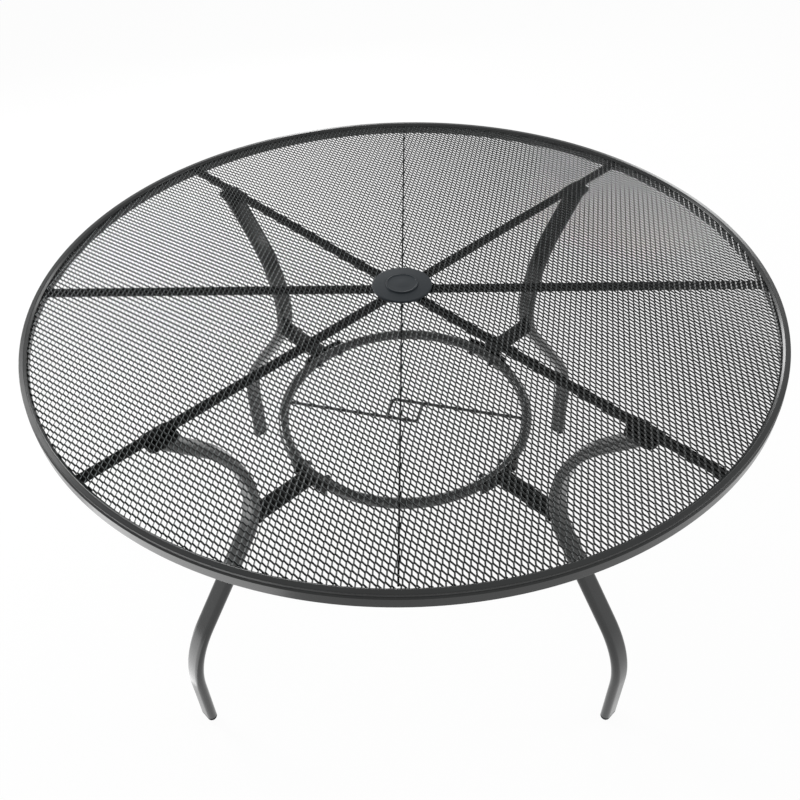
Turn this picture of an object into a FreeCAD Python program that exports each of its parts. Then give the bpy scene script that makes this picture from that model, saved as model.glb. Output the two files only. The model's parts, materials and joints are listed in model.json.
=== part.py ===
import FreeCAD, Part
import math
import os

os.makedirs("parts", exist_ok=True)

# Round patio umbrella table: a rolled steel rim holds two half discs of
# expanded mesh on six radial bars, four S-shaped legs stand under the
# diagonal bars, and a stretcher ring with a wire pole guide ties the legs.
# The floor is Z = 0, the umbrella axis is the Z axis. Sizes in millimetres.

# Overall
table_height = 728.0
top_radius = 603.0

# Rim: rolled strip with a flat crown, a sloped shoulder and a skirt
rim_depth = 25.0
rim_wall = 1.6
rim_crown_width = 11.0
rim_crown_inset = 1.0
rim_shoulder_drop = 8.0
rim_skirt_overhang = 3.0
rim_inner_wall_depth = 20.0
rim_ledge_width = 4.0
rim_ledge_thickness = 2.0
rim_ledge_drop = 7.0

# Mesh: two half discs, drawn with enlarged diamond gaps
mesh_thickness = 2.0
mesh_edge_clearance = 0.5
mesh_border = 9.0
mesh_web = 12.0
mesh_least_gap_share = 0.12
mesh_cell_side = 82.0
mesh_strand_angle_a = 80.4
mesh_strand_angle_b = 146.2
mesh_hub_border = 10.0
seam_gap = 1.0
seam_strip_width = 2.6
seam_strip_thickness = 3.0
seam_border = 5.0

# Radial bars: small rectangular tube
bar_width = 13.0
bar_height = 10.0
bar_wall = 1.5
bar_end_clearance = 0.3

# Hub: steel ring, plastic collar and plastic cap
hub_ring_outer_radius = 31.0
hub_ring_wall = 3.0
hub_ring_height = 10.0
collar_flange_radius = 50.0
collar_flange_thickness = 3.5
collar_edge_share = 0.4
collar_slope_width = 4.0
collar_tube_wall = 3.5
collar_tube_clearance = 0.4
collar_tube_length = 16.0
cap_seat_depth = 7.0
cap_seat_step = 1.2
cap_flange_radius = 27.0
cap_flange_thickness = 3.0
cap_rim_width = 6.0
cap_edge_share = 0.6
cap_plug_clearance = 0.25
cap_plug_length = 5.5

# Legs: flat oval tube bent to an S in a vertical radial plane
oval_end_chords = 4
leg_width = 36.0
leg_thickness = 18.0
leg_wall = 1.5
leg_waist_inset = 249.0
leg_waist_drop = 241.0
leg_upper_bend = 225.0
leg_upper_lean = 44.0
leg_lower_bend = 140.0
leg_lower_lean = 37.0
leg_ankle_bend = 230.0
leg_foot_inset = 66.0

# Leg top: welded pad bolted to a plate under the bar
pad_length = 56.0
pad_width = 44.0
pad_inward_shift = 4.0
pad_thickness = 4.0
plate_thickness = 3.0
pad_corner_cut = 7.0

# Stretcher ring, arms and saddles
ring_waist_drop = 49.0
ring_radius = 228.0
ring_tube = 19.0
ring_tube_corner = 5.0
arm_width = 34.0
arm_thickness = 18.0
saddle_thickness = 3.0
saddle_height = 24.0
saddle_half_angle = 11.0
ring_bolt_diameter = 6.0
ring_bolt_hole_clearance = 0.4
ring_bolt_half_spacing = 26.0
ring_bolt_head_height = 8.5
ring_bolt_head_clearance = 0.15
ring_nut_across_flats = 10.0
ring_nut_height = 5.0
ring_bolt_tail = 2.0
ring_bolt_sides = 12

# Pole guide: two bent wires that close a square inside the ring
wire_diameter = 6.0
wire_turn = -13.0
wire_side_distance = 25.0
wire_end_distance = 29.0
wire_bend_radius = 7.0

# Feet: plastic glides pushed into the tube ends
foot_height = 9.0
foot_flare = 1.0
foot_plug_length = 20.0
foot_socket_spare = 2.0
foot_plug_clearance = 0.15
foot_sole_inset = 2.0

# Derived levels and radii
rim_inner_radius = top_radius - rim_crown_width
rim_outer_radius = top_radius + rim_skirt_overhang
ledge_top = table_height - rim_ledge_drop
ledge_inner_radius = rim_inner_radius - rim_ledge_width
mesh_bottom = ledge_top
mesh_top = mesh_bottom + mesh_thickness
bar_top = mesh_bottom
bar_bottom = bar_top - bar_height
plate_bottom = bar_bottom - plate_thickness
pad_bottom = plate_bottom - pad_thickness
collar_tube_radius = hub_ring_outer_radius - hub_ring_wall - collar_tube_clearance
pole_bore_radius = collar_tube_radius - collar_tube_wall
cap_seat_radius = pole_bore_radius + cap_seat_step
collar_top = mesh_top + collar_flange_thickness
leg_waist_radius = top_radius - leg_waist_inset
leg_waist_height = table_height - leg_waist_drop
leg_foot_radius = top_radius - leg_foot_inset
ring_height = leg_waist_height - ring_waist_drop
leg_azimuths = [45.0, 135.0, 225.0, 315.0]
leg_names = ["rear_right", "rear_left", "front_left", "front_right"]
up = FreeCAD.Vector(0, 0, 1)
origin = FreeCAD.Vector(0, 0, 0)


def save(shape, name):
    """Write one named piece to its STEP file."""
    shape.exportStep("parts/" + name + ".step")


def turned(shape, degrees):
    """Copy of a shape turned about the umbrella axis."""
    result = shape.copy()
    result.rotate(origin, up, degrees)
    return result


def disc(radius, bottom, height):
    """Solid cylinder on the umbrella axis."""
    return Part.makeCylinder(radius, height, FreeCAD.Vector(0, 0, bottom))


def polygon_face(points):
    """Flat face inside a closed run of points."""
    return Part.Face(Part.makePolygon(points + [points[0]]))


def flat_oval(width, thickness, centre, across, normal):
    """Flat oval face: two flat sides, each end rounded by equal short chords."""
    rad = thickness / 2.0
    flat = width / 2.0 - rad
    points = []
    for end in (1, -1):
        for k in range(oval_end_chords + 1):
            angle = math.pi * (k / oval_end_chords - 0.5)
            reach = end * (flat + rad * math.cos(angle))
            points.append(centre + across * reach + normal * (end * rad * math.sin(angle)))
    return polygon_face(points)


def rim():
    """Rolled rim: skirt, sloped shoulder, flat crown, inner wall and ledge."""
    h = table_height
    w = rim_wall
    outer = rim_outer_radius
    inner = rim_inner_radius
    crown = top_radius - rim_crown_inset
    drop = rim_shoulder_drop
    low = h - rim_depth
    inner_low = h - rim_inner_wall_depth
    profile = [
        (outer, low),
        (outer, h - drop),
        (crown, h),
        (inner, h),
        (inner, ledge_top),
        (ledge_inner_radius, ledge_top),
        (ledge_inner_radius, ledge_top - rim_ledge_thickness),
        (inner, ledge_top - rim_ledge_thickness),
        (inner, inner_low),
        (inner + w, inner_low),
        (inner + w, h - w),
        (crown - w / 2.0, h - w),
        (outer - w, h - drop - w / 2.0),
        (outer - w, low),
    ]
    points = [FreeCAD.Vector(r, 0, z) for r, z in profile]
    return polygon_face(points).revolve(origin, up, 360)


def mesh_region(side, outer, hub, seam):
    """Flat half ring face on one side of the seam line."""
    ring = Part.Face(Part.Wire(Part.makeCircle(outer)))
    hole = Part.Face(Part.Wire(Part.makeCircle(hub)))
    start = seam if side > 0 else -seam - 2 * outer
    box = Part.makePlane(2 * outer, 4 * outer, FreeCAD.Vector(start, -2 * outer, 0))
    return ring.cut(hole).common(box)


def diamond(centre, a, b):
    """Diamond gap face spanned by two half strand steps about its centre."""
    points = [centre + a + b, centre + a - b, centre - a - b, centre - a + b]
    return polygon_face(points)


def mesh_panel(side):
    """Half disc of expanded mesh, its edge resting on the rim ledge."""
    outer = rim_inner_radius - mesh_edge_clearance
    hub = collar_tube_radius + mesh_edge_clearance
    sheet = mesh_region(side, outer, hub, seam_gap / 2.0)
    window = mesh_region(
        side,
        outer - mesh_border,
        hub + mesh_hub_border,
        seam_gap / 2.0 + seam_border,
    )
    angle_a = math.radians(mesh_strand_angle_a)
    angle_b = math.radians(mesh_strand_angle_b)
    dir_a = FreeCAD.Vector(math.cos(angle_a), math.sin(angle_a), 0)
    dir_b = FreeCAD.Vector(math.cos(angle_b), math.sin(angle_b), 0)
    step_a = dir_a * mesh_cell_side
    step_b = dir_b * mesh_cell_side
    open_share = 1.0 - mesh_web / (mesh_cell_side * math.sin(angle_b - angle_a))
    half_a = step_a * (open_share / 2.0)
    half_b = step_b * (open_share / 2.0)
    reach = int(2.4 * outer / mesh_cell_side) + 1
    gaps = []
    for i in range(-reach, reach + 1):
        for j in range(-reach, reach + 1):
            centre = step_a * (i + 0.5) + step_b * (j + 0.5)
            if centre.Length > outer + mesh_cell_side:
                continue
            if centre.x * side < -mesh_cell_side:
                continue
            gap = diamond(centre, half_a, half_b).common(window)
            if gap.Area > mesh_least_gap_share * mesh_cell_side * mesh_cell_side:
                gaps.append(gap)
    sheet = sheet.cut(Part.makeCompound(gaps))
    panel = sheet.extrude(FreeCAD.Vector(0, 0, mesh_thickness))
    panel.translate(FreeCAD.Vector(0, 0, mesh_bottom))
    return panel


def seam_strip(side):
    """Flat strip under the seam where the two half discs meet."""
    start = hub_ring_outer_radius - seam_strip_thickness
    length = ledge_inner_radius - bar_end_clearance - start
    corner = FreeCAD.Vector(-seam_strip_width / 2.0, start, mesh_bottom - seam_strip_thickness)
    strip = Part.makeBox(seam_strip_width, length, seam_strip_thickness, corner)
    strip = strip.cut(disc(hub_ring_outer_radius, bar_bottom, bar_height))
    return turned(strip, 0 if side > 0 else 180)


def bar():
    """Radial tube along X from the hub ring to the rim, notched for the ledge."""
    start = hub_ring_outer_radius - bar_wall
    end = rim_inner_radius + bar_wall
    length = end - start
    corner = FreeCAD.Vector(start, -bar_width / 2.0, bar_bottom)
    tube = Part.makeBox(length, bar_width, bar_height, corner)
    bore_corner = corner + FreeCAD.Vector(-1, bar_wall, bar_wall)
    bore_width = bar_width - 2 * bar_wall
    bore_height = bar_height - 2 * bar_wall
    tube = tube.cut(Part.makeBox(length + 2, bore_width, bore_height, bore_corner))
    tube = tube.cut(disc(hub_ring_outer_radius, bar_bottom, bar_height))
    tube = tube.common(disc(rim_inner_radius, bar_bottom, bar_height))
    ledge = disc(rim_inner_radius + rim_wall, ledge_top - rim_ledge_thickness, bar_height)
    ledge = ledge.cut(disc(ledge_inner_radius - bar_end_clearance, bar_bottom, 2 * bar_height))
    return tube.cut(ledge)


def hub_ring():
    """Short steel ring that the bar ends are welded to."""
    bottom = bar_top - hub_ring_height
    ring = disc(hub_ring_outer_radius, bottom, hub_ring_height)
    return ring.cut(disc(hub_ring_outer_radius - hub_ring_wall, bottom - 1, hub_ring_height + 2))


def collar():
    """Flanged plastic collar that lines the umbrella hole."""
    tube_bottom = mesh_top - collar_tube_length
    t = collar_flange_thickness
    flange_rim = collar_flange_radius
    profile = [
        (pole_bore_radius, tube_bottom),
        (collar_tube_radius, tube_bottom),
        (collar_tube_radius, mesh_top),
        (flange_rim, mesh_top),
        (flange_rim, mesh_top + collar_edge_share * t),
        (flange_rim - collar_slope_width, collar_top),
        (cap_seat_radius, collar_top),
        (cap_seat_radius, collar_top - cap_seat_depth),
        (pole_bore_radius, collar_top - cap_seat_depth),
    ]
    points = [FreeCAD.Vector(r, 0, z) for r, z in profile]
    return polygon_face(points).revolve(origin, up, 360)


def cap():
    """Lift-out plug with a low dished head."""
    outer = cap_seat_radius - cap_plug_clearance
    head = cap_flange_radius
    t = cap_flange_thickness
    low = collar_top - cap_plug_length
    profile = [
        (0, low),
        (outer, low),
        (outer, collar_top),
        (head, collar_top),
        (head, collar_top + cap_edge_share * t),
        (head - t, collar_top + t),
        (head - cap_rim_width, collar_top + t),
        (head - cap_rim_width - t / 2.0, collar_top + cap_edge_share * t),
        (0, collar_top + cap_edge_share * t),
    ]
    points = [FreeCAD.Vector(r, 0, z) for r, z in profile]
    return polygon_face(points).revolve(origin, up, 360)


def leg_run(lean):
    """Direction of travel down a leg that leans outwards by an angle."""
    angle = math.radians(lean)
    return FreeCAD.Vector(math.sin(angle), 0, -math.cos(angle))


def leg_side(lean):
    """Direction from the leg centre line to its outer side."""
    angle = math.radians(lean)
    return FreeCAD.Vector(math.cos(angle), 0, math.sin(angle))


def leg_top_point():
    """Where the centre line of a leg meets the underside of its pad."""
    centre = FreeCAD.Vector(leg_waist_radius + leg_upper_bend, 0, leg_waist_height)
    start = centre - leg_side(-leg_upper_lean) * leg_upper_bend
    rise = pad_bottom - start.z
    return start - leg_run(-leg_upper_lean) * (rise / math.cos(math.radians(leg_upper_lean)))


def straight_piece(outline, start, end):
    """Outline carried along a straight stretch."""
    return outline.extrude(end - start)


def bent_piece(outline, centre, degrees):
    """Outline carried round a bend in the vertical radial plane."""
    return outline.revolve(centre, FreeCAD.Vector(0, -1, 0), degrees)


def leg_outline(width, thickness, point, lean):
    """Flat oval section of a leg at a point of its centre line."""
    across = FreeCAD.Vector(0, 1, 0)
    return flat_oval(width, thickness, point, across, leg_side(lean))


def leg_solid(width, thickness):
    """Flat oval carried down the S: straight, two bends, straight, bend, foot."""
    upper_centre = FreeCAD.Vector(leg_waist_radius + leg_upper_bend, 0, leg_waist_height)
    upper_start = upper_centre - leg_side(-leg_upper_lean) * leg_upper_bend
    top = leg_top_point() - leg_run(-leg_upper_lean) * leg_thickness
    waist = FreeCAD.Vector(leg_waist_radius, 0, leg_waist_height)
    lower_centre = waist + FreeCAD.Vector(leg_lower_bend, 0, 0)
    lower_end = lower_centre - leg_side(leg_lower_lean) * leg_lower_bend
    ankle_radius = leg_foot_radius - leg_ankle_bend * (1 - leg_side(leg_lower_lean).x)
    lean_run = (ankle_radius - lower_end.x) / leg_run(leg_lower_lean).x
    ankle_start = lower_end + leg_run(leg_lower_lean) * lean_run
    ankle_centre = ankle_start - leg_side(leg_lower_lean) * leg_ankle_bend
    ankle_end = ankle_centre + FreeCAD.Vector(leg_ankle_bend, 0, 0)
    sole = FreeCAD.Vector(leg_foot_radius, 0, foot_height)
    first = leg_outline(width, thickness, top, -leg_upper_lean)
    second = leg_outline(width, thickness, upper_start, -leg_upper_lean)
    third = leg_outline(width, thickness, waist, 0)
    fourth = leg_outline(width, thickness, lower_end, leg_lower_lean)
    fifth = leg_outline(width, thickness, ankle_start, leg_lower_lean)
    sixth = leg_outline(width, thickness, ankle_end, 0)
    pieces = [
        bent_piece(second, upper_centre, leg_upper_lean),
        bent_piece(third, lower_centre, leg_lower_lean),
        straight_piece(fourth, lower_end, ankle_start),
        bent_piece(fifth, ankle_centre, -leg_lower_lean),
        straight_piece(sixth, ankle_end, sole),
    ]
    solid = straight_piece(first, top, upper_start).fuse(pieces).removeSplitter()
    reach = 2 * pad_length
    block_corner = FreeCAD.Vector(leg_top_point().x - reach, -reach, pad_bottom)
    return solid.cut(Part.makeBox(2 * reach, 2 * reach, reach, block_corner))


def leg(filled):
    """S-shaped leg with an open socket for the plug of its foot."""
    inset = 2 * leg_wall
    across = FreeCAD.Vector(0, 1, 0)
    out = FreeCAD.Vector(1, 0, 0)
    base = FreeCAD.Vector(leg_foot_radius, 0, foot_height)
    socket = flat_oval(leg_width - inset, leg_thickness - inset, base, across, out)
    depth = foot_plug_length + foot_socket_spare
    return filled.cut(socket.extrude(FreeCAD.Vector(0, 0, depth)))


def pad_block(bottom, thickness):
    """Flat plate with cut corners over the leg top, a little further in than out."""
    centre = FreeCAD.Vector(leg_top_point().x - pad_inward_shift, 0, bottom)
    corner = centre - FreeCAD.Vector(pad_length / 2.0, pad_width / 2.0, 0)
    block = Part.makeBox(pad_length, pad_width, thickness, corner)
    upright = [e for e in block.Edges if abs(e.tangentAt(e.FirstParameter).z) > 0.9]
    return block.makeChamfer(pad_corner_cut, upright)


def ring_section():
    """Square outline with cut corners, in the XZ plane."""
    h = ring_tube / 2.0
    c = ring_tube_corner
    corners = [(-h, c - h), (c - h, -h), (h - c, -h), (h, c - h)]
    corners += [(h, h - c), (h - c, h), (c - h, h), (-h, h - c)]
    points = [FreeCAD.Vector(ring_radius + x, 0, ring_height + z) for x, z in corners]
    return polygon_face(points)


def ring_bolt_angles():
    """Azimuths of the two bolts on either side of an arm."""
    half = math.degrees(math.asin(ring_bolt_half_spacing / ring_radius))
    return [-half, half]


def nut_seat():
    """Reach of the outer face of the saddles, where the nuts sit."""
    return ring_radius + ring_tube / 2.0 + saddle_thickness


def hexagon_corner(across_flats):
    """Radius of the corners of a hexagon of a given width across flats."""
    return across_flats / 2.0 / math.cos(math.pi / 6)


def radial_prism(sides, radius, start, end):
    """Prism along X at the height of the ring, from one reach to another."""
    points = []
    for k in range(sides):
        a = 2 * math.pi * k / sides
        points.append(
            FreeCAD.Vector(start, radius * math.cos(a), ring_height + radius * math.sin(a))
        )
    return polygon_face(points).extrude(FreeCAD.Vector(end - start, 0, 0))


def stretcher_ring():
    """Rolled ring of square bar with cut corners, drilled for the eight bolts."""
    ring = ring_section().revolve(origin, up, 360)
    return ring.cut(around_ring(ring_bolt_hole))


def saddle():
    """Curved plate on the end of an arm, following the outside of the ring."""
    inner = ring_radius + ring_tube / 2.0
    bottom = ring_height - saddle_height / 2.0
    band = disc(inner + saddle_thickness, bottom, saddle_height)
    band = band.cut(disc(inner, bottom - 1, saddle_height + 2))
    reach = 2.0 * inner
    half = math.radians(saddle_half_angle)
    points = [
        FreeCAD.Vector(0, 0, bottom - 1),
        FreeCAD.Vector(reach * math.cos(half), -reach * math.sin(half), bottom - 1),
        FreeCAD.Vector(reach * math.cos(half), reach * math.sin(half), bottom - 1),
    ]
    wedge = polygon_face(points).extrude(FreeCAD.Vector(0, 0, saddle_height + 2))
    plate = band.common(wedge)
    for offset in ring_bolt_angles():
        plate = plate.cut(ring_bolt_hole(offset))
    return plate


def arm(leg_block):
    """Flat oval arm from the saddle to the leg, coped to the leg surface."""
    start = ring_radius + ring_tube / 2.0
    end = leg_waist_radius + leg_thickness
    across = FreeCAD.Vector(0, 1, 0)
    base = FreeCAD.Vector(start, 0, ring_height)
    run = FreeCAD.Vector(end - start, 0, 0)
    tube = flat_oval(arm_width, arm_thickness, base, across, up).extrude(run)
    tube = tube.cut(disc(start + saddle_thickness, ring_height - arm_width, 2 * arm_width))
    tube = tube.cut(leg_block)
    pieces = sorted(tube.Solids, key=lambda s: s.CenterOfMass.x)
    return pieces[0]


def ring_bolt_hole(offset):
    """Clearance hole through the ring and the saddle."""
    radius = (ring_bolt_diameter + ring_bolt_hole_clearance) / 2.0
    start = ring_radius - ring_tube
    end = ring_radius + ring_tube
    return turned(radial_prism(ring_bolt_sides, radius, start, end), offset)


def ring_bolt(offset):
    """Bolt with its hexagon head inside the ring and its tail outside."""
    head_face = ring_radius - ring_tube / 2.0 - ring_bolt_head_clearance
    tail = nut_seat() + ring_nut_height + ring_bolt_tail
    shank = radial_prism(ring_bolt_sides, ring_bolt_diameter / 2.0, head_face, tail)
    corner = hexagon_corner(ring_nut_across_flats)
    head = radial_prism(6, corner, head_face - ring_bolt_head_height, head_face)
    return turned(head.fuse(shank), offset)


def ring_nut(offset):
    """Hexagon nut on the bolt tail, seated on the saddle."""
    seat = nut_seat()
    corner = hexagon_corner(ring_nut_across_flats)
    nut = radial_prism(6, corner, seat, seat + ring_nut_height)
    bore = radial_prism(ring_bolt_sides, ring_bolt_diameter / 2.0, seat, seat + ring_nut_height)
    return turned(nut.cut(bore), offset)


def around_ring(maker):
    """Eight copies of a fastener, two at each arm."""
    copies = []
    for azimuth in leg_azimuths:
        for offset in ring_bolt_angles():
            copies.append(turned(maker(offset), azimuth))
    return Part.makeCompound(copies)


def guide_wire():
    """Wire from the ring, past one side of the square, then bent along the next."""
    rad = wire_diameter / 2.0
    inner = ring_radius - ring_tube / 2.0
    side = wire_side_distance
    end = wire_end_distance
    bend = wire_bend_radius
    level = ring_height
    start = FreeCAD.Vector(-inner, -side, level)
    turn = FreeCAD.Vector(end - bend, -side, level)
    bend_end = FreeCAD.Vector(end, bend - side, level)
    tip = FreeCAD.Vector(end, side - rad, level)
    across = FreeCAD.Vector(0, 1, 0)
    along = FreeCAD.Vector(1, 0, 0)
    first = flat_oval(wire_diameter, wire_diameter, start, across, up).extrude(turn - start)
    corner = flat_oval(wire_diameter, wire_diameter, turn, across, up)
    pivot = FreeCAD.Vector(end - bend, bend - side, level)
    corner = corner.revolve(pivot, up, 90)
    last = flat_oval(wire_diameter, wire_diameter, bend_end, along, up).extrude(tip - bend_end)
    rod = first.fuse([corner, last]).removeSplitter()
    inside = disc(inner, level - wire_diameter, 2 * wire_diameter)
    return turned(rod.common(inside), wire_turn)


def foot():
    """Plastic glide: shoe with a drawn-in sole and a plug up inside the tube."""
    across = FreeCAD.Vector(0, 1, 0)
    out = FreeCAD.Vector(1, 0, 0)
    width = leg_width + 2 * foot_flare
    thickness = leg_thickness + 2 * foot_flare
    base = FreeCAD.Vector(leg_foot_radius, 0, 0)
    shoe = flat_oval(width, thickness, base, across, out)
    shoe = shoe.extrude(FreeCAD.Vector(0, 0, foot_height))
    sole_edges = [e for e in shoe.Edges if e.BoundBox.ZMax < foot_height / 2.0]
    shoe = shoe.makeChamfer(foot_sole_inset, sole_edges)
    inset = 2 * (leg_wall + foot_plug_clearance)
    seat = FreeCAD.Vector(leg_foot_radius, 0, foot_height)
    plug = flat_oval(leg_width - inset, leg_thickness - inset, seat, across, out)
    return shoe.fuse(plug.extrude(FreeCAD.Vector(0, 0, foot_plug_length)))


# Table top
save(rim(), "rim")
save(mesh_panel(-1), "mesh_panel_left")
save(mesh_panel(1), "mesh_panel_right")
save(seam_strip(1), "seam_strip_rear")
save(seam_strip(-1), "seam_strip_front")
spoke = bar()
save(spoke, "cross_bar_right")
save(turned(spoke, 180), "cross_bar_left")
for azimuth, name in zip(leg_azimuths, leg_names):
    save(turned(spoke, azimuth), "diagonal_bar_" + name)
save(hub_ring(), "hub_ring")
save(collar(), "umbrella_collar")
save(cap(), "umbrella_cap")

# Legs with their pads, plates and feet
leg_filled = leg_solid(leg_width, leg_thickness)
leg_tube = leg(leg_filled)
leg_pad = pad_block(pad_bottom, pad_thickness)
bar_plate = pad_block(plate_bottom, plate_thickness)
glide = foot()
for azimuth, name in zip(leg_azimuths, leg_names):
    save(turned(leg_tube, azimuth), "leg_" + name)
    save(turned(leg_pad, azimuth), "leg_pad_" + name)
    save(turned(bar_plate, azimuth), "bar_plate_" + name)
    save(turned(glide, azimuth), "foot_glide_" + name)

# Stretcher ring, arms, saddles, fasteners and pole guide
save(stretcher_ring(), "stretcher_ring")
arm_tube = arm(leg_filled)
arm_saddle = saddle()
for azimuth, name in zip(leg_azimuths, leg_names):
    save(turned(arm_tube, azimuth), "arm_" + name)
    save(turned(arm_saddle, azimuth), "arm_saddle_" + name)
save(around_ring(ring_bolt), "ring_bolts")
save(around_ring(ring_nut), "ring_nuts")
wire_one = guide_wire()
save(wire_one, "guide_wire_left")
save(turned(wire_one, 180), "guide_wire_right")
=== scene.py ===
import json
import math

import bpy
import numpy as np
from bpy.props import FloatProperty, IntProperty, PointerProperty, StringProperty
from mathutils import Matrix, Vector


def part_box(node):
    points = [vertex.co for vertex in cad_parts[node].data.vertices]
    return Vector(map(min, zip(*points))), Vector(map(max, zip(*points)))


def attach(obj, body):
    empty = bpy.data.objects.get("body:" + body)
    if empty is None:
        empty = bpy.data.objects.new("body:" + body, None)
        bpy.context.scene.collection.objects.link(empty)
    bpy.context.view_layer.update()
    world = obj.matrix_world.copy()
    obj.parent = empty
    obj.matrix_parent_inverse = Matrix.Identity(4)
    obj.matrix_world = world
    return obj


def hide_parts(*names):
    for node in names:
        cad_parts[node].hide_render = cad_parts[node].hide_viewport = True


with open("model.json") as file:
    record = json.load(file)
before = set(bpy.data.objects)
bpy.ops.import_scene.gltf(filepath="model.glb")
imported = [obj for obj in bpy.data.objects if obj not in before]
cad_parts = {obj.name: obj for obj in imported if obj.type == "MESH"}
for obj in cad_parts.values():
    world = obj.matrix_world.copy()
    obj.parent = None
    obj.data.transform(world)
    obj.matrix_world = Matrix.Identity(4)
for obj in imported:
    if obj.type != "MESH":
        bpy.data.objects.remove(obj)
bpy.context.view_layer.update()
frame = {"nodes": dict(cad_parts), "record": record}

bl_info = {
    "name": "Umbrella Table",
    "version": (1, 0, 0),
    "blender": (4, 5, 0),
    "location": "3D View > Sidebar > Umbrella Table",
    "description": "Round mesh-top patio table with S legs and a stretcher ring",
    "category": "Add Mesh",
}

MM = 0.001

# The four corners of the table, as the names of the nodes give them, with azimuths
CORNERS = {"rear_right": 45.0, "rear_left": 135.0, "front_left": 225.0, "front_right": 315.0}
ALL_BARS = {"cross_bar_right": 0.0, "cross_bar_left": 180.0}
ALL_BARS.update({"diagonal_bar_" + name: azimuth for name, azimuth in CORNERS.items()})

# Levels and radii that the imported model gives; the crown starts outside the panels
CROWN_MARGIN = 2.8 * MM
RIM_LOW, RIM_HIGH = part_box("rim")
RIM_OUTER = RIM_HIGH.x
TOP_LEVEL = RIM_HIGH.z
SKIRT_LOW = RIM_LOW.z
PANEL_LOW, PANEL_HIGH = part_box("mesh_panel_right")
LEDGE_LEVEL = PANEL_LOW.z
CROWN_INNER = PANEL_HIGH.x + CROWN_MARGIN
BAR_LOW, BAR_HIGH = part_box("cross_bar_right")
COLLAR_LOW, COLLAR_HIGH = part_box("umbrella_collar")
CAP_LOW, CAP_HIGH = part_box("umbrella_cap")
HUB_LOW, HUB_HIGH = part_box("hub_ring")
PAD_LOW, PAD_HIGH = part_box("leg_pad_rear_right")
PLATE_LOW, PLATE_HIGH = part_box("bar_plate_rear_right")
RING_LOW, RING_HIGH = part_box("stretcher_ring")
RING_LEVEL = (RING_LOW.z + RING_HIGH.z) / 2.0

# Names of the finishes
TUBE_COAT = "Charcoal powder coat on steel tube"
# Darker than the frame's coat: painted shade for the bars, pads, plates and arms under the table
# top
PAINTED_SHADE_BAR_COAT = "Charcoal powder coat on bars and arms"
RIM_COAT = "Charcoal powder coat on rolled rim"
GROOVE_COAT = "Dull powder coat in the rim groove"
MESH_COAT = "Thin powder coat on expanded mesh"
# Paler than the mesh coat: a painted glint on the strands' slit edges
EDGE_GLINT_COAT = "Thinned powder coat on slit edges"
WELD_COAT = "Powder coat over weld beads"
HUB_PLASTIC = "Moulded polypropylene, spark grain"
GLIDE_PLASTIC = "Black polyethylene glide"
OXIDE = "Black oxide on steel"
FLOOR_PAINT = "Pale studio floor"


class TableSizes(bpy.types.PropertyGroup):
    """Sizes of the table's pieces."""

    strand_side: FloatProperty(
        name="Strand Length", description="Side of one diamond of the expanded mesh, bond to bond",
        default=9.05 * MM, unit="LENGTH")
    strand_width: FloatProperty(
        name="Strand Width", description="Width of the slit strip that makes a strand",
        default=2.36 * MM, unit="LENGTH")
    strand_thickness: FloatProperty(
        name="Strand Thickness", description="Thickness of the sheet that the mesh is slit from",
        default=1.15 * MM, unit="LENGTH")
    strand_tilt: FloatProperty(
        name="Strand Tilt", description="How far the strands are turned out of the sheet",
        default=math.radians(44.0), unit="ROTATION")
    leg_width: FloatProperty(
        name="Leg Width", description="Wide side of the flat oval leg tube",
        default=36.0 * MM, unit="LENGTH")
    leg_thickness: FloatProperty(
        name="Leg Thickness", description="Narrow side of the flat oval leg tube",
        default=18.0 * MM, unit="LENGTH")
    ring_tube: FloatProperty(
        name="Ring Tube", description="Side of the rounded tube of the stretcher ring",
        default=19.0 * MM, unit="LENGTH")
    wire_diameter: FloatProperty(
        name="Guide Wire", description="Diameter of the two wires of the pole guide",
        default=6.0 * MM, unit="LENGTH")
    ring_segments: IntProperty(
        name="Ring Segments",
        description="Steps round the rim; the hub and the stretcher ring have half as many",
        default=288, min=24)


class TableFinishes(bpy.types.PropertyGroup):
    """Colours of the table's finishes, as sRGB hex values."""

    coat: StringProperty(
        name="Powder Coat", description="Charcoal powder coat of the steel frame",
        default="#1c1f1f")
    coat_shade: StringProperty(
        name="Powder Coat Shade", description="Darker places of the powder coat",
        default="#151717")
    groove_shade: StringProperty(
        name="Groove Shade", description="Darker places of the coat in the rim's groove",
        default="#171919")
    # The bars' two colours are darker than the frame's: painted shade under the table top
    painted_shade_bar_tone: StringProperty(
        name="Bar Coat", description="Powder coat of the bars, the pads and the arms",
        default="#0d0f0f")
    painted_shade_bar_dark_tone: StringProperty(
        name="Bar Coat Shade", description="Darker places of the bars' coat",
        default="#0a0b0b")
    mesh_coat: StringProperty(
        name="Mesh Coat", description="Powder coat on the strands of the mesh",
        default="#131616")
    # A pale grey painted on the slit edges as a glint of light
    slit_edge_glint: StringProperty(
        name="Slit Edges", description="Powder coat on the slit edges of the strands",
        default="#747a7a")
    plastic: StringProperty(
        name="Hub Plastic", description="Moulded plastic of the collar and the cap",
        default="#2a2f33")
    plastic_shade: StringProperty(
        name="Hub Plastic Shade", description="Darker places of the moulded plastic",
        default="#262a2e")
    fasteners: StringProperty(
        name="Fasteners", description="Black oxide of the fasteners, and black of the feet",
        default="#17181a")
    fasteners_smear: StringProperty(
        name="Fasteners Smear", description="Paler smears of oil on the black oxide",
        default="#26272a")
    floor: StringProperty(
        name="Floor", description="Pale studio floor", default="#fbfbfa")


# ---------------------------------------------------------------- surfaces


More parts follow.
